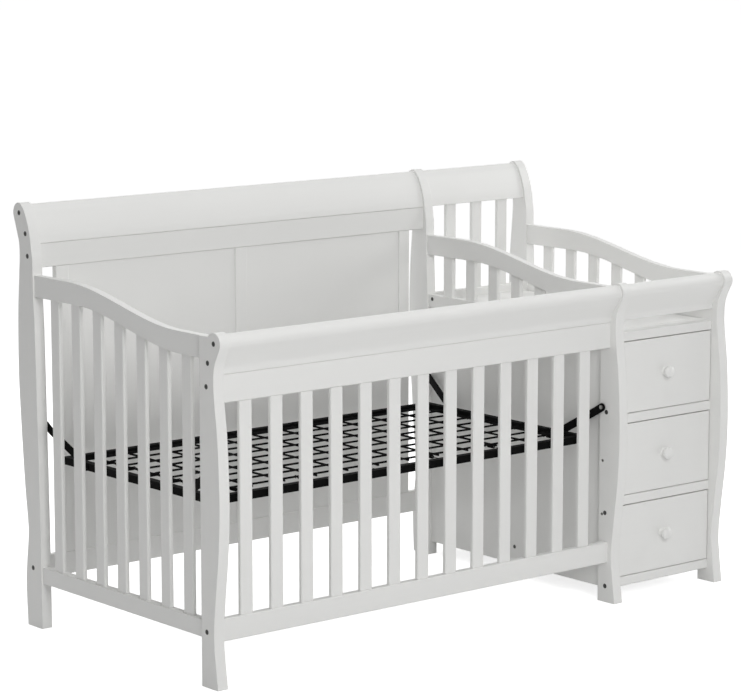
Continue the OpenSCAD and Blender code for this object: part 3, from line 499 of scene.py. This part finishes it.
def make_floor_white():
    material = bpy.data.materials.new("white floor")
    material.use_nodes = True
    tree = material.node_tree
    tree.nodes.clear()
    output = tree.nodes.new("ShaderNodeOutputMaterial")
    matt = place(tree, "ShaderNodeBsdfDiffuse", Color=FLOOR_GREY)
    lift = reckon(tree, "MULTIPLY", seen_directly(tree), FLOOR_LIFT)
    glow = place(tree, "ShaderNodeEmission", {"Strength": lift}, Color=WHITE)
    both = place(tree, "ShaderNodeAddShader", {0: matt.outputs[0], 1: glow.outputs[0]})
    tree.links.new(both.outputs[0], output.inputs["Surface"])
    return material


bpy.ops.mesh.primitive_plane_add(size=FLOOR_SIZE, location=(0, 0, 0))
floor = bpy.context.object
floor.name = "floor"
floor.data.materials.append(make_floor_white())
print("floor:", FLOOR_SIZE, "m wide")

# %% [markdown]
# ## Fill from the sky
# White furniture needs gentle light, or its edges vanish. The whole sky fills the shadows by a
# little, while the camera and reflections see it white. A picture of a studio could do this as
# well, but a plain sky leaves no marks on the paint.

# %% World
FILL = 0.35
world = bpy.data.worlds.new("studio")
bpy.context.scene.world = world
world.use_nodes = True
sky = world.node_tree
sky.nodes.clear()
strength = place(sky, "ShaderNodeMapRange", {"Value": seen_directly(sky)}, To_Min=FILL,
                 To_Max=1.0)
light = place(sky, "ShaderNodeBackground", {"Strength": strength.outputs[0]}, Color=WHITE)
world_out = sky.nodes.new("ShaderNodeOutputWorld")
sky.links.new(light.outputs[0], world_out.inputs["Surface"])
print("fill:", FILL)

# %% [markdown]
# ## Lamps
# A large lamp on the right lights the inner faces of the left-hand posts, one on the left front
# lights the long front, a faint one hangs above, and one behind the object shines through the
# slats onto whatever faces away from the front lamp. Small lamps would draw a hard shadow of
# every slat, so all four are wide.

# %% Four soft lamps
AIM = Vector((0.1, 0.0, 0.5))
LAMPS = (("right lamp", (4.8, -0.5, 2.2), 1.8, 98),
         ("front lamp", (-1.8, -4.6, 2.6), 1.8, 95),
         ("top lamp", (0.0, -0.6, 4.6), 2.4, 30),
         ("back lamp", (0.0, 4.0, 3.0), 2.0, 75))


def add_lamp(name, spot, size, watts):
    """A square soft lamp that faces the middle of the object."""
    lamp = bpy.data.lights.new(name, "AREA")
    lamp.shape = "SQUARE"
    lamp.size = size
    lamp.energy = watts
    held = bpy.data.objects.new(name, lamp)
    held.location = spot
    held.rotation_euler = (held.location - AIM).to_track_quat("Z", "Y").to_euler()
    bpy.context.collection.objects.link(held)
    return held


lamps = [add_lamp(*lamp) for lamp in LAMPS]
print("lamps, watts:", [held.data.energy for held in lamps])

# %% [markdown]
# ## The camera
# The camera stands far off with a long lens, low and to the left of the front, so that the
# long lines of the rails draw together only a little. Its angles are turned into a direction,
# which is easier to reason about than three typed rotations.

# %% Camera
AZIMUTH = math.radians(-39.66)
ELEVATION = math.radians(9.28)
CAMERA_SPOT = (-5.0569, -6.04325, 1.9932)
LENS = 142.0
SENSOR = 36
LENS_RISE = 0.0008
NEAR, FAR = 0.1, 400
back = Vector((math.sin(AZIMUTH) * math.cos(ELEVATION),
               -math.cos(AZIMUTH) * math.cos(ELEVATION), math.sin(ELEVATION)))
camera_data = bpy.data.cameras.new("camera")
camera_data.sensor_width = SENSOR
camera_data.sensor_fit = "HORIZONTAL"
camera_data.lens = LENS
camera_data.shift_y = LENS_RISE
camera_data.clip_start, camera_data.clip_end = NEAR, FAR
camera = bpy.data.objects.new("camera", camera_data)
camera.location = CAMERA_SPOT
camera.rotation_mode = "QUATERNION"
camera.rotation_quaternion = back.to_track_quat("Z", "Y")
bpy.context.collection.objects.link(camera)
bpy.context.scene.camera = camera
bpy.context.scene.view_settings.view_transform = "Standard"
print("camera height", round(camera.location[2], 2), "m")
